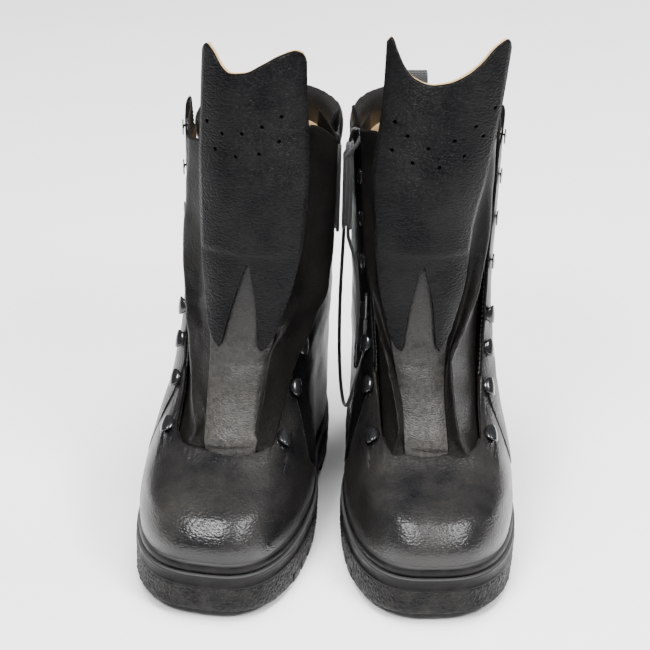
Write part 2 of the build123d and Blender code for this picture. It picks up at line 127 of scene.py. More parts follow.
# Height of each bellows' top at its inner and outer fold
BELLOWS_TOP = {("right", 1): (279, 261), ("right", -1): (266, 262),
               ("left", 1): (276, 270), ("left", -1): (272, 268)}
LUG_HEIGHTS = (90.0, 110.0, 129.0, 147.0)
HOOK_HEIGHTS = (178.0, 206.0, 234.0, 260.0)

# Free stretches of the laces, floor's frame
RIGHT_LACE_ROUTE = (
    (-1.5, 8.6, 250.4), (-6.7, 7.6, 257.5), (-8.9, 9.8, 262.9), (-5.2, 19.1, 262.9),
    (-3.3, 25.6, 259.5), (0.2, 33.1, 256.0), (1.2, 36.7, 246.0), (1.5, 37.3, 230.0),
    (1.3, 37.1, 214.0),
)
LEFT_LACE_ROUTE = (
    (21.6, -9.8, 144.0), (21.6, -9.6, 132.4), (21.9, -15.0, 126.5), (20.3, -13.2, 115.0),
    (16.3, -5.0, 97.0), (13.3, 5.0, 77.0), (11.1, 18.0, 64.0), (8.7, 31.5, 61.0),
    (6.3, 40.5, 76.0), (5.0, 44.5, 100.0), (4.6, 45.9, 135.0), (5.7, 45.5, 175.0),
    (6.3, 45.9, 215.0), (7.2, 44.9, 243.0), (9.3, 39.5, 257.0), (12.3, 27.3, 262.9),
    (15.2, 17.7, 262.9), (13.0, 14.3, 257.5), (7.7, 14.0, 250.4),
)
LEFT_TAIL_ROUTE = (
    (7.9, 18.5, 192.0), (9.5, 17.3, 187.0), (13.3, 13.5, 177.0), (15.5, 9.2, 164.5),
    (16.4, 7.2, 150.0), (16.8, 7.0, 134.0), (16.4, 7.4, 118.0),
)
HANK_X = {"right": -1.0, "left": 6.9}
HANK_Y = {"right": 19.6, "left": 25.0}
HANK_LAYERS = 3
HANK_TURNS = 9


# ---- small tools --------------------------------------------------------------------------
def curve(table, at):
    """Smooth monotone curve through a table's rows; the first column is the key."""
    rows = np.array(table, float)
    keys, values = rows[:, 0], rows[:, 1:]
    at = np.clip(np.asarray(at, float), keys[0], keys[-1])
    steps = np.diff(keys)[:, None]
    secants = np.diff(values, axis=0) / steps
    slopes = np.vstack([secants[:1], np.zeros_like(secants[1:]), secants[-1:]])
    before, after = secants[:-1], secants[1:]
    same = before * after > 0
    slopes[1:-1][same] = 2 * before[same] * after[same] / (before[same] + after[same])
    i = np.clip(np.searchsorted(keys, at, side="right") - 1, 0, len(keys) - 2)
    h = steps[i, 0][..., None]
    t = ((at - keys[i]) / steps[i, 0])[..., None]
    a, b, m, n = values[i], values[i + 1], slopes[i] * h, slopes[i + 1] * h
    return (2 * t**3 - 3 * t**2 + 1) * a + (t**3 - 2 * t**2 + t) * m \
        + (3 * t**2 - 2 * t**3) * b + (t**3 - t**2) * n


def ease(low, high, at):
    """Smooth step from 0 at low to 1 at high."""
    t = np.clip((np.asarray(at, float) - low) / (high - low), 0, 1)
    return t * t * (3 - 2 * t)


def ripple(points, scale, seed=0.0):
    """Soft seeded noise, -1 to 1, at points in millimetres."""
    flat = np.asarray(points, float).reshape(-1, 3) / scale
    values = [noise.noise(Vector((p[0] + seed, p[1] - seed, p[2] + 2 * seed))) for p in flat]
    return np.array(values).reshape(np.asarray(points).shape[:-1])


def footprint(turn, front, back, half, taper, blunt, inset=0.0):
    """Foot-shaped outline at an angle from the toe, fuller towards the big toe."""
    middle = (front + back) / 2
    reach = (back - front) / 2 - inset
    along, across = np.cos(turn), np.sin(turn)
    y = middle - reach * along
    x = np.sign(across) * np.abs(across) ** blunt * (1 + taper * along) * (half - inset)
    x = x + 30 * taper * np.clip(along, 0, 1) ** 2
    x = x - np.where(across > 0, 40 * taper * np.exp(-(((y - 25) / 45) ** 2)), 0)
    return x, y


def upper(turn, height, inset=0.0):
    """Points on the upper's surface, or inset inside it."""
    turn, height = np.broadcast_arrays(turn, height)
    rows = np.moveaxis(curve(UPPER, height + inset), -1, 0)
    x, y = footprint(turn, *rows, inset)
    return np.stack([x, y, height + 0.0 * x], -1)


def even_turns(limit, count):
    """Turns from -limit to limit, crowded at the toe so that the columns stand evenly."""
    t = np.linspace(-1, 1, count)
    return limit * np.sign(t) * np.abs(t) ** 1.6


def normals(grid):
    """Unit normals of a grid of points, from its own directions."""
    across = np.gradient(grid, axis=0)
    along = np.gradient(grid, axis=1)
    facing = np.cross(across, along)
    return facing / np.maximum(np.linalg.norm(facing, axis=-1, keepdims=True), 1e-9)


def place(points, side):
    """Boot's own millimetres to the floor's frame in metres."""
    sign, x, y, turn = SIDES[side]
    c, s = math.cos(math.radians(turn)), math.sin(math.radians(turn))
    p = np.asarray(points, float)
    px = p[..., 0] * sign
    return np.stack([c * px - s * p[..., 1] + x, s * px + c * p[..., 1] + y, p[..., 2]], -1) * MM


def new_object(name, points, faces, material, body, node=None):
    """Mesh object from points in metres, riding on a body and standing for a CAD node."""
    mesh = bpy.data.meshes.new(name)
    mesh.from_pydata(np.asarray(points).reshape(-1, 3).tolist(), [], faces)
    mesh.validate()
    shell = bmesh.new()
    shell.from_mesh(mesh)
    bmesh.ops.recalc_face_normals(shell, faces=shell.faces)
    shell.to_mesh(mesh)
    shell.free()
    mesh.polygons.foreach_set("use_smooth", [True] * len(mesh.polygons))
    mesh.materials.append(material)
    thing = bpy.data.objects.new(name, mesh)
    bpy.context.scene.collection.objects.link(thing)
    if body:
        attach(thing, body)
    if node:
        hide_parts(*([node] if isinstance(node, str) else node))
    return thing


def piece(side, name, solid, material, nodes=(), body="boot"):
    points, faces = solid
    rides = f"{side}_{body}" if body else None
    return new_object(f"{side}_{name}", place(points, side), faces, material, rides,
                      [f"{side}_{node}" for node in nodes])


def grid_faces(rows, columns, closed_rows=False, closed_columns=False, start=0):
    """Quads of a grid whose points are numbered row by row."""
    faces = []
    for i in range(rows if closed_rows else rows - 1):
        for j in range(columns if closed_columns else columns - 1):
            below, beside = (i + 1) % rows, (j + 1) % columns
            corners = ((i, j), (i, beside), (below, beside), (below, j))
            faces.append(tuple(start + m * columns + n for m, n in corners))
    return faces


def end_caps(rows, columns):
    """Faces that close the first and last ring of a stack of rings."""
    first = tuple(range(columns))[::-1]
    last = tuple(range((rows - 1) * columns, rows * columns))
    return [first, last]


def leather_solid(grid, thickness, flip=False):
    """Closed sheet with rounded edges: outer grid given, inner one behind it.

    flip puts the thickness on the side that the grid's own normals point away from.
    """
    facing = normals(grid) * (-1 if flip else 1)
    rows, columns = grid.shape[:2]
    inner = grid - facing * thickness
    middle = (grid + inner) / 2
    rim = [(0, j) for j in range(columns)] + [(i, columns - 1) for i in range(1, rows)]
    rim += [(rows - 1, j) for j in range(columns - 2, -1, -1)]
    rim += [(i, 0) for i in range(rows - 2, 0, -1)]
    outward = []
    for i, j in rim:
        step = np.zeros(3)
        if i in (0, rows - 1):
            step += grid[i, j] - grid[1 if i == 0 else rows - 2, j]
        if j in (0, columns - 1):
            step += grid[i, j] - grid[i, 1 if j == 0 else columns - 2]
        outward.append(step / max(np.linalg.norm(step), 1e-9))
    edge = np.array([middle[i, j] for i, j in rim]) + np.array(outward) * thickness * 0.42
    points = np.vstack([grid.reshape(-1, 3), inner.reshape(-1, 3), edge])
    faces = grid_faces(rows, columns) + grid_faces(rows, columns, start=rows * columns)
    total, count = rows * columns, len(rim)
    for k in range(count):
        (i, j), (m, n) = rim[k], rim[(k + 1) % count]
        a, b = i * columns + j, m * columns + n
        e, f = 2 * total + k, 2 * total + (k + 1) % count
        faces += [(a, b, f, e), (e, f, total + b, total + a)]
    return points, faces


def sweep_ring(outline, profile, bump=None, count=400):
    """Closed ring: a closed profile of (outwards, height) swept round a function of inset."""
    turns = np.linspace(-math.pi, math.pi, count, endpoint=False)
    turns = math.pi * np.sign(turns) * np.abs(turns / math.pi) ** 1.35
    columns = []
    for out, height in profile:
        x, y = outline(turns, -out)
        columns.append(np.stack([x, y, np.full_like(x, height)], -1))
    grid = np.stack(columns, 1)
    if bump is not None:
        grid = bump(grid)
    return grid, grid_faces(*grid.shape[:2], closed_rows=True, closed_columns=True)


def tube(points, radius, sides=10, up=(0, 0, 1)):
    """Closed round bar along points, with domed ends."""
    path = np.asarray(points, float)
    ahead = np.gradient(path, axis=0)
    ahead /= np.linalg.norm(ahead, axis=1, keepdims=True)
    radii = np.broadcast_to(np.asarray(radius, float), len(path)).copy()
    across = np.cross(ahead, np.array(up, float))
    across /= np.maximum(np.linalg.norm(across, axis=1, keepdims=True), 1e-6)
    out = np.cross(across, ahead)
    angles = np.linspace(0, 2 * math.pi, sides, endpoint=False)
    rings = [path[k] + radii[k] * (np.cos(angles)[:, None] * across[k]
                                   + np.sin(angles)[:, None] * out[k])
             for k in range(len(path))]
    first = path[0] - ahead[0] * radii[0] * 0.5 + (rings[0] - path[0]) * 0.6
    last = path[-1] + ahead[-1] * radii[-1] * 0.5 + (rings[-1] - path[-1]) * 0.6
    rings = np.array([first] + rings + [last])
    faces = grid_faces(len(rings), sides, closed_columns=True) + end_caps(len(rings), sides)
    return rings.reshape(-1, 3), faces


def join(parts):
    """Several (points, faces) as one."""
    points, faces, count = [], [], 0
    for p, f in parts:
        points.append(p)
        faces += [tuple(i + count for i in face) for face in f]
        count += len(p)
    return np.vstack(points), faces


def even_path(path, gap):
    """Points at even distances along a path."""
    path = np.asarray(path, float)
    along = np.concatenate([[0], np.cumsum(np.linalg.norm(np.diff(path, axis=0), axis=1))])
    marks = np.linspace(0, along[-1], max(2, int(along[-1] / gap)))
    return np.stack([np.interp(marks, along, path[:, k]) for k in range(3)], -1)


def stitches(path, facing, length=2.2, gap=3.1, radius=0.4):
    """Row of thread stitches lying along a path, each dipping in at its ends."""
    places = even_path(path, gap)
    looks = np.asarray(facing, float)
    where = np.linspace(0, len(looks) - 1, len(places)).round().astype(int)
    done = []
    for k in range(len(places) - 1):
        ahead = places[k + 1] - places[k]
        ahead = ahead / max(np.linalg.norm(ahead), 1e-9)
        out = looks[where[k]]
        t = np.linspace(-0.5, 0.5, 5)
        line = places[k] + np.outer(t * length, ahead) + np.outer(0.25 - 1.6 * t**2, out)
        done.append(tube(line, radius, 6, up=out))
    return join(done)


def seam(points, facing):
    """Path just proud of a surface, with its facings, for stitches()."""
    return points + facing * 0.1, facing


# ---- materials ----------------------------------------------------------------------------
def node_tree(name):
    """New material with its nodes, links, shader and the object's own coordinates."""
    material = bpy.data.materials.new(name)
    material.use_nodes = True
    nodes = material.node_tree.nodes
    where = nodes.new("ShaderNodeTexCoord").outputs["Object"]
    return material, nodes, material.node_tree.links, nodes["Principled BSDF"], where


def mixed(nodes, links, factor, first, second, blend="MIX"):
    """Blend of two colours; each input is a socket or a plain value."""
    mix = nodes.new("ShaderNodeMix")
    mix.data_type = "RGBA"
    mix.blend_type = blend
    for name, value in (("Factor", factor), ("A", first), ("B", second)):
        if isinstance(value, bpy.types.NodeSocket):
            links.new(value, mix.inputs[name])
        else:
            mix.inputs[name].default_value = value
    return mix.outputs["Result"]


def noise_node(nodes, links, coordinates, scale, detail=4.0, rough=0.5):
    texture = nodes.new("ShaderNodeTexNoise")
    texture.inputs["Scale"].default_value = scale
    texture.inputs["Detail"].default_value = detail
    texture.inputs["Roughness"].default_value = rough
    links.new(coordinates, texture.inputs["Vector"])
    return texture.outputs["Fac"]


def ramp(nodes, links, value, low, high, dark, light):
    mix = nodes.new("ShaderNodeValToRGB")
    mix.color_ramp.elements[0].position = low
    mix.color_ramp.elements[1].position = high
    mix.color_ramp.elements[0].color = (*dark, 1)
    mix.color_ramp.elements[1].color = (*light, 1)
    links.new(value, mix.inputs["Fac"])
    return mix.outputs["Color"]


def spread(nodes, links, value, low, high, to_low, to_high):
    change = nodes.new("ShaderNodeMapRange")
    change.inputs["From Min"].default_value = low
    change.inputs["From Max"].default_value = high
    change.inputs["To Min"].default_value = to_low
    change.inputs["To Max"].default_value = to_high
    links.new(value, change.inputs["Value"])
    return change.outputs["Result"]


def bumped(nodes, links, shader, layers):
    """Chain of bumps; each layer is (height socket, distance in metres, strength)."""
    last = None
    for height, distance, strength in layers:
        bump = nodes.new("ShaderNodeBump")
        bump.inputs["Distance"].default_value = distance
        bump.inputs["Strength"].default_value = strength
        links.new(height, bump.inputs["Height"])
        if last is not None:
            links.new(last, bump.inputs["Normal"])
        last = bump.outputs["Normal"]
    links.new(last, shader.inputs["Normal"])


def leather_material(name, dark, worn, grain=720.0, depth=0.0004, rough=(0.26, 0.42), dust=0.35,
                     dusty=None, shine=0.10):
    """Grained leather: cells of grain wider than tall, finer pores, patchy wear, uneven shine."""
    material, nodes, links, shader, where = node_tree(name)
    warp = nodes.new("ShaderNodeVectorMath")
    warp.operation = "MULTIPLY_ADD"
    wobble = nodes.new("ShaderNodeTexNoise")
    wobble.inputs["Scale"].default_value = grain * 0.35
    links.new(where, wobble.inputs["Vector"])
    links.new(wobble.outputs["Color"], warp.inputs[0])
    warp.inputs[1].default_value = (0.0016, 0.0016, 0.0016)
    wider = nodes.new("ShaderNodeMapping")
    wider.inputs["Scale"].default_value = (0.8, 0.8, 1.5)
    links.new(where, wider.inputs["Vector"])
    links.new(wider.outputs["Vector"], warp.inputs[2])
    cells = nodes.new("ShaderNodeTexVoronoi")
    cells.feature = "SMOOTH_F1"
    cells.inputs["Scale"].default_value = grain
    links.new(warp.outputs["Vector"], cells.inputs["Vector"])
    pores = noise_node(nodes, links, where, grain * 2.6, 3.0)
    patches = noise_node(nodes, links, where, 26.0, 5.0, 0.6)
    creases = noise_node(nodes, links, where, 300.0, 4.0, 0.6)
    colour = ramp(nodes, links, patches, 0.5 - dust * 0.3, 0.8, dark, worn)
    grainy = ramp(nodes, links, cells.outputs["Distance"], 0.0, 0.75, (1.0, 1.0, 1.0), (0.55, 0.55, 0.55))
    finish = mixed(nodes, links, 0.55, colour, grainy, "MULTIPLY")
    if dusty:
        height = nodes.new("ShaderNodeSeparateXYZ")
        links.new(where, height.inputs["Vector"])
        low = spread(nodes, links, height.outputs["Z"], 0.085, 0.19, 0.9, 0.0)
        amount = nodes.new("ShaderNodeMath")
        amount.operation = "MULTIPLY"
        links.new(low, amount.inputs[0])
        links.new(spread(nodes, links, creases, 0.3, 0.7, 0.2, 1.0), amount.inputs[1])
        finish = mixed(nodes, links, amount.outputs["Value"], finish, (*dusty, 1))
    links.new(finish, shader.inputs["Base Color"])
    links.new(spread(nodes, links, patches, 0.3, 0.7, *rough), shader.inputs["Roughness"])
    shader.inputs["Specular IOR Level"].default_value = shine
    height = spread(nodes, links, cells.outputs["Distance"], 0.0, 0.8, 1.0, 0.0)
    bumped(nodes, links, shader, [(height, depth, 0.8), (pores, depth * 0.35, 0.4),
                                  (creases, 0.0004, 0.3)])
    return material


def rubber_material(name, colour, worn, pebble, dust):
    """Moulded rubber: scuffed, pebbled, and lighter where it faces up: dust and painted top light."""
    material, nodes, links, shader, where = node_tree(name)
    scuffs = noise_node(nodes, links, where, 90.0, 6.0, 0.65)
    facing = nodes.new("ShaderNodeSeparateXYZ")
    links.new(nodes.new("ShaderNodeNewGeometry").outputs["Normal"], facing.inputs["Vector"])
    # Up-facing surfaces get the dust colour: part dust, part painted highlight from the light above.
    upward_dust_and_top_light = spread(nodes, links, facing.outputs["Z"], 0.45, 0.95, 0.0, 1.0)
    scuffed = ramp(nodes, links, scuffs, 0.42, 0.78, colour, worn)
    links.new(mixed(nodes, links, upward_dust_and_top_light, scuffed, (*dust, 1)), shader.inputs["Base Color"])
    shader.inputs["Specular IOR Level"].default_value = 0.15
    links.new(spread(nodes, links, scuffs, 0.3, 0.7, 0.38, 0.62), shader.inputs["Roughness"])
    cells = nodes.new("ShaderNodeTexVoronoi")
    cells.inputs["Scale"].default_value = 420.0
    links.new(where, cells.inputs["Vector"])
    height = spread(nodes, links, cells.outputs["Distance"], 0.0, 0.9, 1.0, 0.0)
    fine = noise_node(nodes, links, where, 900.0, 2.0)
    bumped(nodes, links, shader, [(height, pebble, 0.7), (fine, 0.0002, 0.3)])
    return material


def simple_material(name, dark, light, rough, scale=300.0, bump=0.0002, metal=0.0, coat=0.0):
    """Mottled surface with small bumps, for metal, thread, felt and board."""
    material, nodes, links, shader, where = node_tree(name)
    mottle = noise_node(nodes, links, where, scale, 5.0, 0.6)
    links.new(ramp(nodes, links, mottle, 0.35, 0.7, dark, light), shader.inputs["Base Color"])
    links.new(spread(nodes, links, mottle, 0.3, 0.7, rough * 0.8, rough * 1.2),
              shader.inputs["Roughness"])
    shader.inputs["Metallic"].default_value = metal
    shader.inputs["Coat Weight"].default_value = coat
    bumped(nodes, links, shader, [(mottle, bump, 0.5)])
    return material


def woven_material(name, dark, light, pitch):
    """Braid or webbing: crossing ribs a pitch apart."""
    material, nodes, links, shader, where = node_tree(name)
    ribs = []
    for direction in ("DIAGONAL", "Z"):
        wave = nodes.new("ShaderNodeTexWave")
        wave.bands_direction = direction
        wave.inputs["Scale"].default_value = 0.31 / pitch
        wave.inputs["Distortion"].default_value = 0.6
        links.new(where, wave.inputs["Vector"])
        ribs.append(wave.outputs["Fac"])
    both = nodes.new("ShaderNodeMath")
    both.operation = "MULTIPLY"
    links.new(ribs[0], both.inputs[0])
    links.new(ribs[1], both.inputs[1])
    links.new(ramp(nodes, links, both.outputs["Value"], 0.0, 0.8, dark, light), shader.inputs["Base Color"])
    shader.inputs["Roughness"].default_value = 0.75
    shader.inputs["Sheen Weight"].default_value = 0.3
    bumped(nodes, links, shader, [(both.outputs["Value"], 0.0005, 0.8)])
    return material


BLACK = leather_material("black_leather", (0.0025, 0.0025, 0.003), (0.009, 0.009, 0.009))
SCUFFED = leather_material("scuffed_leather", (0.004, 0.004, 0.005), (0.026, 0.024, 0.021), depth=0.00024,
                           dust=0.6, shine=0.42)
SOFT = leather_material("soft_leather", (0.004, 0.004, 0.004), (0.014, 0.013, 0.012), 900.0, 0.0003,
                        (0.34, 0.5), 0.6, (0.056, 0.052, 0.047), 0.3)
GUSSET = leather_material("gusset_leather", (0.003, 0.003, 0.003), (0.012, 0.011, 0.010), 900.0, 0.0003,
                          (0.36, 0.5), 0.6, (0.014, 0.013, 0.012), 0.10)
TAN = leather_material("tan_lining", (0.50, 0.34, 0.16), (0.66, 0.48, 0.27), 900.0, 0.00015,
                       (0.6, 0.75))
# Each rubber's last colour goes on up-facing surfaces: dust and painted top light.
TREAD = rubber_material("tread_rubber", (0.004, 0.004, 0.004), (0.025, 0.024, 0.022), 0.0009,
                        (0.06, 0.06, 0.06))
BAND = rubber_material("band_rubber", (0.003, 0.003, 0.003), (0.014, 0.013, 0.012), 0.0001,
                       (0.055, 0.055, 0.055))
METAL = simple_material("black_metal", (0.006, 0.006, 0.007), (0.015, 0.015, 0.016), 0.22, 200, 0.00005,
                        0.3, 0.6)
STEEL = simple_material("steel", (0.42, 0.42, 0.44), (0.56, 0.56, 0.58), 0.35, 120, 0.00005, 1.0)
BOARD = simple_material("board", (0.28, 0.22, 0.15), (0.40, 0.32, 0.23), 0.85, 500, 0.0002)
FELT = simple_material("footbed_felt", (0.10, 0.10, 0.11), (0.20, 0.20, 0.21), 0.95, 900, 0.0004)
THREAD = simple_material("thread", (0.02, 0.02, 0.022), (0.06, 0.06, 0.06), 0.5, 1500, 0.0001)
AGLET = simple_material("aglet_plastic", (0.01, 0.01, 0.01), (0.02, 0.02, 0.02), 0.25, 300, 0.00003, 0, 0.5)
WEB = woven_material("webbing", (0.008, 0.008, 0.008), (0.04, 0.04, 0.04), 0.0012)
CORD = woven_material("lace_cord", (0.008, 0.008, 0.009), (0.045, 0.045, 0.047), 0.0009)
FLOOR = simple_material("floor", (0.93, 0.93, 0.93), (0.95, 0.95, 0.95), 0.9, 3, 0.0001)


# ---- the sole -----------------------------------------------------------------------------
def sole_outline(turn, inset=0.0):
    return footprint(turn, -HALF_SOLE, HALF_SOLE, SOLE_HALF_WIDTH, 0.19, 0.70, inset)


def toe_spring(grid):
    """Lift the sole towards the toe: most at the tread, a little at the bead."""
    y, z = grid[..., 1], grid[..., 2]
    reach = np.clip((-82 - y) / 72, 0, 1) ** 1.8
    lifted = grid.copy()
    lifted[..., 2] = z + reach * (2.8 + 4.6 * np.clip(1 - z / TREAD_TOP, 0, 1))
    return lifted


def pebbles(grid):
    """Height of the moulded pebble texture at points on the tread."""
    rough = np.abs(ripple(grid, 2.3, 5.0)) ** 0.7 + 0.5 * ripple(grid, 1.3, 9.0)
    return rough[..., None] - 0.4


def pebbled(grid):
    """Push pebbles out of the tread's wall."""
    outward = grid[..., :2] / np.linalg.norm(grid[..., :2], axis=-1, keepdims=True)
    wall = (grid[..., 2] < TREAD_TOP - 0.9)[..., None]
    pushed = grid.copy()
    pushed[..., :2] += outward * pebbles(grid) * wall
    return toe_spring(pushed)


def lug_cell(y_low, y_high, x_sign, gap=2.2):
    """One tread lug: a cell of the sole's outline between two grooves and the middle groove."""
    turns = np.linspace(0.002, math.pi - 0.002, 400) * x_sign
    x, y = sole_outline(turns)
    order = np.argsort(y)
    steps = np.linspace(y_low, y_high, 14)
    outer = np.interp(steps, y[order], x[order]) - x_sign * 0.2
    inner = np.full_like(steps, x_sign * gap)
    base = np.concatenate([np.stack([outer, steps], -1), np.stack([inner, steps], -1)[::-1]])
    middle = base.mean(0)
    levels = ((LUG_DEPTH + 0.5, 1.0), (1.4, 0.985), (0.35, 0.965), (0.0, 0.93))
    rings = [np.column_stack([middle + (base - middle) * size, np.full(len(base), z)])
             for z, size in levels]
    grid = toe_spring(np.array(rings))
    count = len(base)
    faces = grid_faces(len(levels), count, closed_columns=True) + end_caps(len(levels), count)
    return grid.reshape(-1, 3), faces


def make_sole(side):
    low = LUG_DEPTH
    wall = [(0.0, z) for z in np.linspace(low, TREAD_TOP - 0.4, 16)]
    grid, faces = sweep_ring(sole_outline, wall + [(-0.5, TREAD_TOP), (-40, TREAD_TOP), (-40, low)],
                             pebbled, 900)
    plug = sweep_ring(sole_outline, [(-39, low), (-39, TREAD_TOP), (-54, TREAD_TOP), (-54, low)],
                      toe_spring)
    parts = [(grid.reshape(-1, 3), faces), (plug[0].reshape(-1, 3), plug[1])]
    toe_turns = np.linspace(-0.84, 0.84, 170)
    x, y = sole_outline(toe_turns)
    rim = np.stack([x, y], -1)
    middle = rim.mean(0)
    rings = []
    for z in np.concatenate([np.linspace(low + 0.4, 1.2, 11), [0.4, 0.0]]):
        size = 1 - 0.06 * np.clip(1 - z / 4.0, 0, 1) ** 2
        rings.append(np.column_stack([middle + (rim - middle) * size, np.full(len(rim), z)]))
    toe = np.array(rings)
    outward = toe[..., :2] - middle * np.array([1.0, 0.6])
    outward /= np.linalg.norm(outward, axis=-1, keepdims=True)
    toe[..., :2] += outward * pebbles(toe) * (toe[..., 2:] > 1)
    toe = toe_spring(toe)
    count = len(rim)
    toe_faces = grid_faces(len(rings), count, closed_columns=True) + end_caps(len(rings), count)
    parts.append((toe.reshape(-1, 3), toe_faces))
    rows = [(y0, y0 + 12.5) for y0 in np.arange(-98, 0, 17.0)]
    rows += [(y0, y0 + 13.5) for y0 in (52.0, 70.5, 89.0, 107.5)] + [(126.0, 149.0)]
    for y0, y1 in rows:
        for sign in (1, -1):
            parts.append(lug_cell(y0, y1, sign))
    piece(side, "tread", join(parts), TREAD, ["outsole"])

    band = [(-0.6, TREAD_TOP - 0.2), (0.25, TREAD_TOP + 0.3), (0.45, TREAD_TOP + 0.9),
            (0.1, TREAD_TOP + 1.5), (-0.3, 24.0), (-0.4, 26.5), (-0.3, 28.2), (0.1, 28.7),
            (0.0, 29.2), (-0.9, BAND_TOP), (-2.4, BAND_TOP + 0.1), (-14, BAND_TOP + 0.1),
            (-14, TREAD_TOP - 0.2)]
    piece(side, "band", sweep_ring(sole_outline, band, toe_spring), BAND, ["midsole"])

    angles = np.linspace(-0.6 * math.pi, 0.75 * math.pi, 14)
    bead = [(-4.4 + 3.4 * math.cos(a), 34.0 + 4.3 * math.sin(a)) for a in angles]
    bead = [(-2.6, 29.4)] + bead + [(-9.5, 37.0), (-9.5, 29.4)]
    piece(side, "bead", sweep_ring(sole_outline, bead, toe_spring), BAND, ["welt"])


# ---- the upper ----------------------------------------------------------------------------
def throat_turn(height, sign):
    """Turn at which the upper meets the front opening's edge at a height."""
    turns = np.linspace(0.02, 1.5, 240)
    heights = np.atleast_1d(height)
    found = []
    for z in heights:
        limit = 31.0 + 11.0 * (z - THROAT_Z) / (QUARTER_TOP - THROAT_Z)
        x = upper(turns * sign, z)[:, 0] * sign - THROAT_X * sign * (1 - ease(87, 200, z))
        found.append(np.interp(limit, x, turns))
    return np.array(found)


LEG_HEIGHTS = np.linspace(THROAT_Z, QUARTER_TOP, 60)
LEG_TURNS = {sign: throat_turn(LEG_HEIGHTS, sign) for sign in (1, -1)}


def leg_height(turn, sign):
    """Height of the opening's edge at a turn, the other way round from throat_turn."""
    return np.interp(turn, LEG_TURNS[sign], LEG_HEIGHTS)


def seam_height(turn, sign):
    """Side seam between vamp and quarter, falling from the throat's edge to the welt."""
    top = throat_turn(SEAM_TOP, sign)[0]
    t = np.clip((turn - top) / (1.72 - top), 0, 1)
    return SEAM_TOP - (SEAM_TOP - 26.0) * t ** 0.85


def vamp_grid():
    turns = even_turns(1.70, 261)
    tops = []
    for turn in turns:
        sign = 1 if turn > 0 else -1
        size = abs(turn)
        corner = LEG_TURNS[sign][0]
        if size < corner:
            tops.append(THROAT_Z + 3.5 * (size / corner) ** 6)
        else:
            tops.append(min(max(leg_height(size, sign), THROAT_Z + 3.5), seam_height(size, sign)))
    tops = np.convolve(np.pad(tops, 2, mode="edge"), [0.1, 0.2, 0.4, 0.2, 0.1], mode="valid")
    t = np.linspace(0, 1, 90)
    heights = 31.0 + (tops[:, None] - 31.0) * t[None, :]
    grid = upper(turns[:, None], heights)
    return turns, grid


def vamp_relief(grid, side):
    """Soft dents over the dome, and fine wrinkles drawn out below the throat's seam."""
    facing = -normals(grid)
    seed = 3.0 if side == "right" else 8.0
    below = THROAT_Z - grid[..., 2]
    near = np.exp(-np.clip(below, 0, 60) / 5.0) * (np.abs(grid[..., 0] - THROAT_X) < 36)
    comb = ripple(grid * np.array([1.0, 0.18, 0.18]), 2.2, seed)
    dents = ripple(grid, 34.0, seed)
    small = ripple(grid, 9.0, seed + 1)
    push = 0.4 * comb * near + 0.6 * dents + 0.08 * small
    roll = 0.9 * np.exp(-((below - 6.0) / 4.0) ** 2) * (np.abs(grid[..., 0] - THROAT_X) < 40)
    return grid + facing * (push + roll)[..., None]


def make_vamp(side):
    turns, grid = vamp_grid()
    grid = vamp_relief(grid, side)
    piece(side, "vamp_leather", leather_solid(grid, LEATHER, flip=True), SCUFFED,
          ["vamp", "toe_cap"])
    facing = -normals(grid)
    centre = np.abs(turns) < LEG_TURNS[1][0] + 0.03
    cord = grid[centre, -1] + facing[centre, -1] * 0.5
    piece(side, "throat_piping", tube(even_path(cord, 1.5), 1.0, 8), SCUFFED)
    return [seam(grid[:, k], facing[:, k]) for k in (-3, -6)]


def make_quarter(side, sign):
    """Side of the boot from the lace facing to the backstay."""
    top_turn = LEG_TURNS[sign][-1]
    seam_turn = throat_turn(SEAM_TOP, sign)[0]
    turns = np.linspace(seam_turn, HEEL_BACK, 170)
    lows = np.maximum(seam_height(turns, sign) - 4.0, 30.0)
    highs = np.where(turns < top_turn, leg_height(turns, sign), QUARTER_TOP)
    highs = np.minimum(highs, 257.0 + 14.0 * ease(top_turn - 0.05, top_turn + 0.4, turns))
    drop = QUARTER_TOP - COLLAR_BOTTOM - 2
    highs = highs - drop * ease(COLLAR_START - 0.08, COLLAR_START + 0.05, turns)
    highs = np.maximum(highs, lows + 1.0)
    t = np.linspace(0, 1, 110)
    heights = lows[:, None] + (highs - lows)[:, None] * t[None, :]
    grid = upper(sign * turns[:, None], heights, -0.5)
    facing = normals(grid) * (-sign)
    seed = 20.0 + (3 if side == "right" else 7) + sign
    ankle = np.exp(-((grid[..., 2] - 125) / 40) ** 2)
    stretched = grid * np.array([0.6, 0.5, 1.6])
    push = 1.1 * ankle * ripple(stretched, 22.0, seed) + 0.6 * ripple(grid, 40.0, seed + 2)
    grid = grid + facing * push[..., None]
    piece(side, f"{NAMES[sign]}_side", leather_solid(grid, LEATHER, flip=sign > 0), BLACK,
          [f"{NAMES[sign]}_quarter"])
    facing = normals(grid) * (-sign)
    return [seam(grid[:, k], facing[:, k]) for k in (-4, 4, 8)]


def make_backstay(side):
    """Outside heel cover with a strip up the back of the boot."""
    turns = np.linspace(1.98, 2 * math.pi - 1.98, 200)
    from_back = np.abs(turns - math.pi)
    highs = 78 + (COLLAR_BOTTOM - 79) * (1 - ease(0.30, 0.62, from_back))
    highs = highs - 12 * ease(0.62, 1.16, from_back)
    t = np.linspace(0, 1, 110)
    heights = 30.0 + (highs[:, None] - 30.0) * t[None, :]
    grid = upper(turns[:, None], heights, -1.7)
    piece(side, "heel_cover", leather_solid(grid, LEATHER), BLACK,
          ["backstay", "heel_counter"])
    facing = normals(grid)
    return [seam(grid[:, -4], facing[:, -4])]


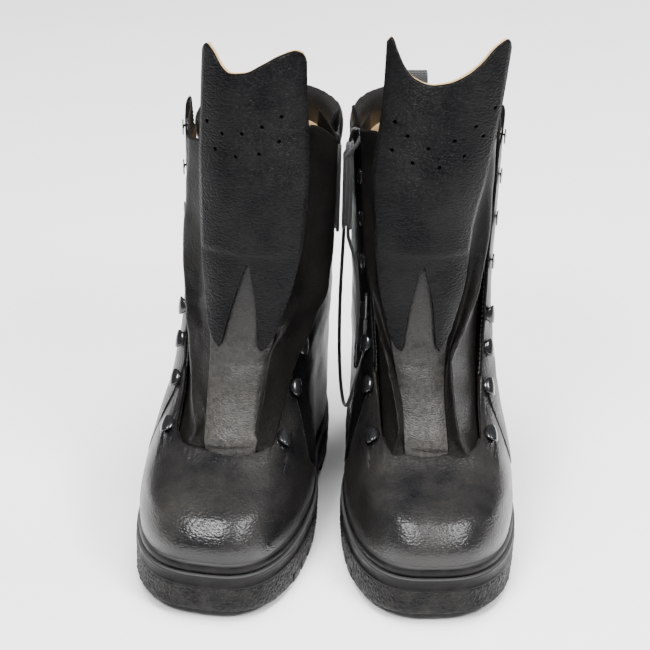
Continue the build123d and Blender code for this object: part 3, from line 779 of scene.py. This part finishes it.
def make_lining(side):
    turns = np.linspace(0.0, 2 * math.pi, 240)
    from_front = np.minimum(turns, 2 * math.pi - turns)
    sign = np.where(turns < math.pi, 1, -1)
    legs = np.array([np.interp(f - 0.16, LEG_TURNS[s], LEG_HEIGHTS) for f, s in zip(from_front, sign)])
    highs = np.where(from_front < LEG_TURNS[1][0] + 0.16, THROAT_Z - 6.0, legs)
    highs = np.minimum(highs, COLLAR_BOTTOM + 4)
    t = np.linspace(0, 1, 90)
    heights = 34.0 + (highs[:, None] - 34.0) * t[None, :]
    grid = upper(turns[:, None], heights, 5.2)
    piece(side, "inner_lining", leather_solid(grid, 1.2), TAN, ["lining"])


def inflate(thing, seam_top, voxel=0.0045, most=0.003):
    """Fill a padded roll out as cloth under pressure, held along the seam at its foot."""
    even = thing.modifiers.new("even", "REMESH")
    even.mode = "VOXEL"
    even.voxel_size = voxel
    apply_modifiers(thing)
    before = np.array([v.co[:] for v in thing.data.vertices])
    held = thing.vertex_groups.new(name="seam")
    held.add([i for i, co in enumerate(before) if co[2] < seam_top], 1.0, "REPLACE")
    cloth = thing.modifiers.new("cloth", "CLOTH")
    cloth.settings.vertex_group_mass = "seam"
    cloth.settings.use_pressure = True
    cloth.settings.uniform_pressure_force = 4.0
    cloth.settings.tension_stiffness = 30.0
    cloth.settings.compression_stiffness = 30.0
    cloth.settings.bending_stiffness = 0.4
    cloth.settings.effector_weights.gravity = 0.0
    cloth.collision_settings.use_collision = False
    cloth.point_cache.frame_start = 1
    cloth.point_cache.frame_end = 20
    for step in range(1, 21):
        bpy.context.scene.frame_set(step)
    apply_modifiers(thing)
    bpy.context.scene.frame_set(1)
    moved = np.array([v.co[:] for v in thing.data.vertices]) - before
    size = np.linalg.norm(moved, axis=1, keepdims=True)
    capped = before + moved * np.minimum(1.0, most / np.maximum(size, 1e-9))
    thing.data.vertices.foreach_set("co", capped.ravel())
    finer = thing.modifiers.new("finer", "SUBSURF")
    finer.levels = 1
    apply_modifiers(thing)


def make_collar(side):
    """Padded roll round the back of the top, quilted by a seam at its foot."""
    turns = np.linspace(COLLAR_START, 2 * math.pi - COLLAR_START, 220)
    loop = np.linspace(0, 2 * math.pi, 40, endpoint=False)
    t = (turns - turns[0]) / (turns[-1] - turns[0])
    ends = np.sqrt(np.clip(1 - (2 * t - 1) ** 10, 0.02, 1))
    rings = []
    for k, turn in enumerate(turns):
        swell = 1 + 0.05 * math.sin(turn * 9)
        thick = 5.6 * ends[k] * swell
        tall = (COLLAR_TOP - COLLAR_BOTTOM) / 2 * (0.55 + 0.45 * ends[k])
        middle_z = COLLAR_BOTTOM + tall
        squareness = 0.82
        out = thick * np.sign(np.cos(loop)) * np.abs(np.cos(loop)) ** squareness
        rise = tall * np.sign(np.sin(loop)) * np.abs(np.sin(loop)) ** squareness
        lean = 2.2 - 0.09 * (middle_z + rise - COLLAR_BOTTOM)
        base = [upper(turn, middle_z + r, float(lean_here - o)) for r, o, lean_here in zip(rise, out, lean)]
        rings.append(np.array(base))
    grid = np.array(rings)
    push = 0.5 * ripple(grid, 14.0, 31.0)
    grid = grid + np.array([0, 0, 1.0]) * (push * 0.4)[..., None]
    rows, columns = grid.shape[:2]
    faces = grid_faces(rows, columns, closed_columns=True) + end_caps(rows, columns)
    collar = piece(side, "padded_collar", (grid, faces), SOFT, ["collar"])
    inflate(collar, (COLLAR_BOTTOM + 2.5) * MM)
    quilting = upper(turns, COLLAR_BOTTOM - 3.0, -1.9)
    facing = quilting - upper(turns, COLLAR_BOTTOM - 3.0, 1.0)
    facing /= np.linalg.norm(facing, axis=1, keepdims=True)
    return [(quilting[6:-6], facing[6:-6])]


def make_pull_loop(side):
    back = UPPER[-2][2]
    points = [(back + 1.6, 192), (back + 1.4, 221), (back + 1.2, 248), (back + 4, 260),
              (back + 9, 263), (back + 13, 256), (back + 11, 242), (back + 5.2, 226),
              (back + 3.4, 212), (back + 3.2, 192)]
    t = np.arange(len(points), dtype=float)
    fine = np.linspace(0, len(points) - 1, 90)
    path = curve([(k, *p) for k, p in zip(t, points)], fine)
    across = np.linspace(-9, 9, 13)
    grid = np.zeros((len(path), len(across), 3))
    grid[..., 0] = across[None, :]
    grid[..., 1] = path[:, 0][:, None]
    grid[..., 2] = path[:, 1][:, None]
    piece(side, "pull_strap", leather_solid(grid, 1.4, flip=True), WEB, ["pull_loop"])


# ---- the tongue and bellows ---------------------------------------------------------------
def tongue_point(side, s, z):
    """Tongue's front face: s runs -1 to 1 across it."""
    s, z = np.broadcast_arrays(s, z)
    front = curve(TONGUE_FRONT, z)[..., 0]
    middle, half = np.moveaxis(curve(TONGUE_WIDTH[side], z), -1, 0)
    curl = 3.0 + 11.0 * ease(95, 230, z)
    return np.stack([middle + half * s, front + curl * np.abs(s) ** 2.1, z], -1)


def make_tongue(side):
    """Soft panel that rises from the throat behind the shield."""
    s = np.linspace(-1, 1, 60)
    z = np.linspace(0, 1, 150)
    tops = shield_top(side, s) - 2.0
    heights = 84.0 + (tops[:, None] - 84.0) * z[None, :]
    grid = tongue_point(side, s[:, None], heights)
    crease = np.exp(-((heights - 91.5 - 1.5 * s[:, None]) / 1.6) ** 2) * np.exp(-(s[:, None] / 0.8) ** 4)
    dip = np.exp(-((heights - 142) / 3.5) ** 2) * (0.4 + 0.6 * np.clip(s[:, None] + 0.4, 0, 1))
    soft = ripple(grid * np.array([0.7, 1.0, 1.2]), 13.0, 41.0 if side == "right" else 47.0)
    lower = 1 - ease(150, 175, heights)
    grid[..., 1] += 1.6 * crease + (0.9 * soft + 0.9 * dip) * lower
    panel = piece(side, "tongue_panel", leather_solid(grid, 1.7, flip=True), SOFT,
                  ["tongue"], None)
    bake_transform(panel)


def shield_top(side, s):
    """Scalloped top edge: a dip between two horns."""
    return curve(SHIELD_TOP[side], s)[..., 0]


def shield_foot(s):
    """Bottom edge: two rounded lobes with a tall narrow V between them."""
    centre = 0.02
    away = np.abs(s - centre)
    v = 205.0 - 53.0 * np.clip((away - 0.035) / 0.56, 0, 1) ** 0.92
    outer, inner = np.clip(away - 0.72, 0, 1) / 0.28, np.clip(0.72 - away, 0, 1) / 0.2
    lobe = 151.0 + 9.0 * outer**2 + 7.0 * inner**2
    return np.where(away < 0.56, np.maximum(v, 151), np.minimum(lobe, 170))


def make_shield(side):
    s = np.linspace(-1, 1, 161)
    foot = shield_foot(s)
    foot = np.convolve(np.pad(foot, 1, mode="edge"), [0.25, 0.5, 0.25], mode="valid")
    top = shield_top(side, s)
    t = np.linspace(0, 1, 150)
    heights = foot[:, None] + (top - foot)[:, None] * t[None, :]
    grid = tongue_point(side, s[:, None], heights)
    across = np.abs(s)[:, None]
    stiffener = 0.9 * ease(209, 214, heights + 2.0 * across**2) * (1 - ease(0.93, 1.0, across))
    dents = ripple(grid, 30.0, 51.0 if side == "right" else 58.0)
    grid[..., 1] -= 2.5 + stiffener + 0.8 * dents
    shield = piece(side, "shield", leather_solid(grid, 2.3, flip=True), BLACK,
                   ["tongue_shield"], "tongue")
    pierce(shield, side)
    facing = -normals(grid)
    edges = [seam(grid[j, 3:-3], facing[j, 3:-3]) for j in (3, -4)]
    return [seam(grid[2:-2, 3], facing[2:-2, 3])] + edges


def pierce(shield, side):
    """Air holes cut right through the shield."""
    parts = []
    for s, z in HOLES[side]:
        at = tongue_point(side, np.array(s), np.array(z))
        line = np.array([at + np.array([0, d, 0]) for d in (-9.0, 0.0, 9.0)])
        parts.append(tube(line, 1.25, 12))
    cutter = piece(side, "hole_cutter", join(parts), BLACK, body=None)
    cut = shield.modifiers.new("holes", "BOOLEAN")
    cut.object = cutter
    cut.solver = "EXACT"
    apply_modifiers(shield)
    bpy.data.objects.remove(cutter)


def apply_modifiers(thing):
    """Bake a piece's modifiers into its mesh."""
    ready = thing.evaluated_get(bpy.context.evaluated_depsgraph_get())
    mesh = bpy.data.meshes.new_from_object(ready)
    thing.modifiers.clear()
    thing.data = mesh
    mesh.polygons.foreach_set("use_smooth", [True] * len(mesh.polygons))


def make_tongue_lining(side):
    s = np.linspace(-0.985, 0.985, 60)
    t = np.linspace(0, 1, 90)
    tops = shield_top(side, s) - 0.6
    heights = 96.0 + (tops[:, None] - 96.0) * t[None, :]
    grid = tongue_point(side, s[:, None], heights)
    grid[..., 1] += 1.9
    piece(side, "tongue_back", leather_solid(grid, 1.2, flip=True), TAN,
          ["tongue_lining"], "tongue")


def rounded(corners, radius, straight=6, bend=7):
    """Polyline with its inner corners rounded, always with the same number of points."""
    corners = [np.asarray(c, float) for c in corners]
    line = [corners[0]]
    for before, here, after in zip(corners, corners[1:], corners[2:]):
        back, ahead = before - here, after - here
        reach_back = min(radius, 0.48 * np.linalg.norm(back))
        reach_ahead = min(radius, 0.48 * np.linalg.norm(ahead))
        a = here + back / max(np.linalg.norm(back), 1e-6) * reach_back
        b = here + ahead / max(np.linalg.norm(ahead), 1e-6) * reach_ahead
        start = line[-1]
        line += [start + (a - start) * t for t in np.linspace(0, 1, straight)[1:]]
        line += [(1 - t) ** 2 * a + 2 * t * (1 - t) * here + t * t * b for t in np.linspace(0, 1, bend)[1:]]
    start = line[-1]
    line += [start + (corners[-1] - start) * t for t in np.linspace(0, 1, straight)[1:]]
    return np.array(line)


def make_bellows(side, sign):
    """Folded gusset from the tongue's edge out round a fold to the quarter's inside."""
    top_inner, top_outer = BELLOWS_TOP[side, sign]
    rows = []
    for t in np.linspace(0, 1, 120):
        z = 84.5 + (top_inner - 84.5) * t
        outer_x, outer_y, inner_x, inner_y = curve(BELLOWS[side, sign], z)
        edge = tongue_point(side, np.array(0.97 * sign), np.array(z))
        edge[1] += 2.0
        turn = throat_turn(z, sign)[0] + 0.10
        quarter = upper(turn * sign, z, 3.2)
        foot = 1 - ease(86, 100, z)
        edge[1] = edge[1] * (1 - 0.5 * foot) + inner_y * 0.5 * foot
        corners = [edge, (inner_x, inner_y, z), (outer_x, outer_y, z), quarter]
        line = rounded(corners, 3.2 + 2.0 * ease(180, 230, z))
        share = np.clip(np.abs(line[:, 0] - inner_x) / max(abs(outer_x - inner_x), 1.0), 0, 1)
        line[:, 2] -= (top_inner - top_outer) * t ** 3 * share ** 1.5
        rows.append(line)
    grid = np.array(rows).transpose(1, 0, 2)
    seed = 60.0 + 3 * sign + (5 if side == "right" else 0)
    pinch = np.exp(-((grid[..., 2] - 158) / 22) ** 2)
    facing = normals(grid)
    push = (0.8 + 1.3 * pinch) * ripple(grid * np.array([1.0, 1.0, 0.8]), 15.0, seed)
    push = push + 0.5 * ripple(grid, 6.0, seed + 1) * pinch
    fade = ease(84, 98, grid[..., 2]) * np.sin(np.linspace(0, math.pi, grid.shape[0]))[:, None] ** 0.5
    grid = grid + facing * (push * fade)[..., None]
    gusset = piece(side, f"{NAMES[sign]}_gusset", leather_solid(grid, 1.4, flip=sign < 0), GUSSET,
                   [f"{NAMES[sign]}_bellows"], None)
    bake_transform(gusset)


# ---- lace fittings and laces --------------------------------------------------------------
def edge_frame(height, sign, setback):
    """Point, outward normal and upward direction on the facing behind the opening's edge."""
    turn = throat_turn(height, sign)[0]
    turns = np.linspace(turn, turn + 0.6, 60)
    line = upper(turns * sign, height, -0.5)
    away = np.concatenate([[0], np.cumsum(np.linalg.norm(np.diff(line, axis=0), axis=1))])
    here_turn = np.interp(setback, away, turns)
    here = upper(here_turn * sign, height, -0.6)
    ahead = upper((here_turn + 0.02) * sign, height, -0.6) - here
    above = upper(here_turn * sign, height + 2, -0.6) - here
    out = np.cross(ahead, above) * sign
    out /= np.linalg.norm(out)
    above /= np.linalg.norm(above)
    return here, out, above, np.cross(above, out)


def plate(here, out, above, across, length, width, thickness):
    """Rounded foot plate of a fitting, lying on the leather."""
    angles = np.linspace(0, 2 * math.pi, 28, endpoint=False)
    rim = [(max(length - width, 0) / 2 * np.sign(math.cos(a)) + width / 2 * math.cos(a),
            width / 2 * math.sin(a)) for a in angles]
    rings = []
    for size, rise in ((0.96, 0.0), (1.0, thickness * 0.4), (0.96, thickness * 0.85), (0.82, thickness)):
        rings.append([here + above * (u * size) + across * (v * size) + out * rise for u, v in rim])
    grid = np.array(rings)
    faces = grid_faces(*grid.shape[:2], closed_columns=True) + end_caps(*grid.shape[:2])
    return grid.reshape(-1, 3), faces


def lug_arch(here, out, above, across):
    """Pressed leaf-shaped arch, open above and below, that the lace runs through."""
    turns = np.linspace(0.06, math.pi - 0.06, 26)
    spans = np.linspace(-1, 1, 11)
    grid = np.zeros((len(turns), len(spans), 3))
    for i, a in enumerate(turns):
        wide = 2.0 + 3.6 * math.sin(a) ** 0.7
        for j, v in enumerate(spans):
            swell = 1 - 0.10 * v * v
            grid[i, j] = (here + across * (5.6 * math.cos(a) * swell) + above * (wide * v)
                          + out * (0.9 + 5.4 * math.sin(a) ** 0.8 * swell))
    return leather_solid(grid, 1.3, flip=np.dot(np.cross(across, above), out) > 0)


def make_lugs(side, sign):
    """Closed lace lugs: foot plate, two rivet heads and a glossy pressed arch."""
    parts = []
    for height in LUG_HEIGHTS:
        here, out, above, across = edge_frame(height, sign, 9.0)
        parts.append(plate(here, out, above, across, 15.5, 10.5, 1.0))
        parts.append(lug_arch(here, out, above, across))
        for end in (-6.2, 6.2):
            parts.append(plate(here + above * end + out * 0.8, out, above, across, 2.8, 2.8, 0.8))
    piece(side, f"{NAMES[sign]}_lace_lugs", join(parts), METAL, [f"{NAMES[sign]}_lugs"])


def make_hooks(side):
    """Open lace hooks: foot plate, neck and a lip bent back over it."""
    parts = []
    for sign in (1, -1):
        for height in HOOK_HEIGHTS:
            here, out, above, across = edge_frame(height, sign, 8.0)
            parts.append(plate(here, out, above, across, 12.0, 8.0, 1.1))
            t = np.linspace(0, 1, 16)
            path = [here + across * (-2.6 - 1.2 * math.sin(math.pi * k)) + out * (0.8 + 2.6 * k) for k in t]
            path += [here + across * (-2.6 + 3.0 * k) + out * 3.5 for k in t[1:]]
            parts.append(tube(path, 0.8, 10, up=above))
            parts.append(plate(here + out * 3.2, out, above, across, 10.5, 6.6, 0.9))
    piece(side, "lace_hooks", join(parts), METAL, ["hooks", "rivets"])


def hank_points(side):
    """Turns of a hank: flat loops laid side by side and inside each other, none quite alike."""
    rng = np.random.default_rng(7 if side == "right" else 11)
    points = []
    for turn in range(HANK_TURNS):
        layer, ring = turn % HANK_LAYERS, turn // HANK_LAYERS
        start_x = HANK_X[side] + (layer - 1) * LACE
        half_width = 12.2 - ring * LACE
        top, bottom = 252.6 - ring * LACE, 193.4 + ring * LACE + rng.uniform(0, 4.5)
        straight = (top - bottom) / 2 - half_width
        lean = rng.uniform(-0.8, 0.8)
        for step in range(14):
            angle = math.radians(120) + 2 * math.pi * step / 14
            along = math.sin(angle)
            y = HANK_Y[side] + half_width * math.cos(angle) + lean * along
            z = (top + bottom) / 2 + half_width * along + straight * math.copysign(1, along)
            drift = LACE * step / 14 if layer < HANK_LAYERS - 1 else 0
            points.append((start_x + drift, y, z))
    return points[1:]


def make_cord(name, route, nodes, body):
    """A lace as one smooth open curve through its route's control points."""
    data = bpy.data.curves.new(name, "CURVE")
    data.dimensions = "3D"
    data.bevel_depth = LACE / 2 * MM
    data.bevel_resolution = 4
    data.resolution_u = 6
    data.use_fill_caps = True
    spline = data.splines.new("NURBS")
    spline.points.add(len(route) - 1)
    for point, (x, y, z) in zip(spline.points, route):
        point.co = (x * MM, y * MM, z * MM, 1)
    spline.order_u = 3
    spline.use_endpoint_u = True
    data.materials.append(CORD)
    thing = bpy.data.objects.new(name, data)
    bpy.context.scene.collection.objects.link(thing)
    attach(thing, body)
    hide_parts(*nodes)
    bare = bpy.data.objects.new(name + "_line", data.copy())
    bare.data.bevel_depth = 0
    line = bpy.data.meshes.new_from_object(bare)
    bpy.data.objects.remove(bare)


def make_aglet(name, start, heading, body, node):
    start, heading = np.array(start, float), np.array(heading, float)
    t = np.linspace(0, AGLET_LENGTH, 12)
    thick = np.where(t < 1.0, 1.25, np.where(t > AGLET_LENGTH - 1.5, 1.1, 1.32))
    thick[3:6] -= 0.12
    points, faces = tube(start + np.outer(t, heading), thick, 14, up=(1, 0, 0))
    return new_object(name, points * MM, faces, AGLET, body, node)


def make_laces():
    down = (0, 0, -1)
    tail = make_aglet("right_lace_tip", RIGHT_LACE_ROUTE[-1], down, "right_boot", "right_aglet")
    route = list(reversed(RIGHT_LACE_ROUTE)) + hank_points("right")
    make_cord("right_lace_cord", route, ["right_lace", "right_lace_hank"], "right_boot")
    inner = make_aglet("left_lace_inner_tip", LEFT_LACE_ROUTE[0], (0, 0, 1), "left_boot",
                       "left_aglet_inner")
    tip = make_aglet("left_lace_tip", LEFT_TAIL_ROUTE[-1], down, "left_boot", "left_aglet")
    route = list(LEFT_LACE_ROUTE) + hank_points("left") + list(LEFT_TAIL_ROUTE)
    make_cord("left_lace_cord", route, ["left_lace", "left_lace_hank", "left_lace_tail"],
              "left_boot")


# ---- stage --------------------------------------------------------------------------------
def make_stage():
    bpy.ops.mesh.primitive_plane_add(size=8)
    floor = bpy.context.object
    floor.name = "floor"
    floor.data.materials.append(FLOOR)
    world = bpy.data.worlds.new("studio")
    world.use_nodes = True
    world.node_tree.nodes["Background"].inputs["Color"].default_value = (1, 1, 1, 1)
    world.node_tree.nodes["Background"].inputs["Strength"].default_value = 0.3
    bpy.context.scene.world = world
    for name, place_at, size, power in (
        ("key", (-0.6, -1.3, 1.7), 0.55, 52), ("fill", (0.9, -1.1, 1.5), 0.5, 40),
        ("top", (0.0, -0.1, 1.9), 1.0, 85), ("rim", (0.9, 1.3, 1.1), 0.8, 20),
    ):
        light = bpy.data.lights.new(name, "AREA")
        light.size = size
        light.energy = power
        lamp = bpy.data.objects.new(name, light)
        lamp.location = place_at
        lamp.visible_glossy = name in ("key", "fill")
        aim = Vector((0, 0, 0.12)) - Vector(place_at)
        lamp.rotation_euler = aim.to_track_quat("-Z", "Y").to_euler()
        bpy.context.scene.collection.objects.link(lamp)


def make_camera():
    """Standing a little above the boots and looking down at their fronts."""
    down, roll = math.radians(25.78), math.radians(1.7)
    ahead = Vector((0, math.cos(down), -math.sin(down)))
    right, top = Vector((1, 0, 0)), Vector((0, math.sin(down), math.cos(down)))
    camera_x = right * math.cos(roll) + top * math.sin(roll)
    camera_y = top * math.cos(roll) - right * math.sin(roll)
    data = bpy.data.cameras.new("camera")
    data.lens = 139.5
    data.sensor_width = 36
    camera = bpy.data.objects.new("camera", data)
    axes = Matrix((camera_x, camera_y, -ahead)).transposed().to_4x4()
    camera.matrix_world = Matrix.Translation((-0.0049, -1.495, 0.856)) @ axes
    bpy.context.scene.collection.objects.link(camera)
    bpy.context.scene.camera = camera


def make_boot(side):
    make_sole(side)
    seams = make_vamp(side)
    for sign in (1, -1):
        seams += make_quarter(side, sign)
        make_bellows(side, sign)
        make_lugs(side, sign)
    seams += make_backstay(side)
    seams += make_collar(side)
    make_lining(side)
    make_pull_loop(side)
    make_tongue(side)
    make_tongue_lining(side)
    shield_seams = make_shield(side)
    make_hooks(side)
    for name, lines, body in (("upper", seams, "boot"), ("shield", shield_seams, "tongue")):
        threads = join([stitches(*line) for line in lines])
        piece(side, f"{name}_stitches", threads, THREAD, body=body)
    for node, material in (("puncture_plate", STEEL), ("insole_board", BOARD), ("footbed", FELT)):
        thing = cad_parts[f"{side}_{node}"]
        thing.data.materials.clear()
        thing.data.materials.append(material)


make_camera()
make_laces()
make_stage()
for boot in SIDES:
    make_boot(boot)
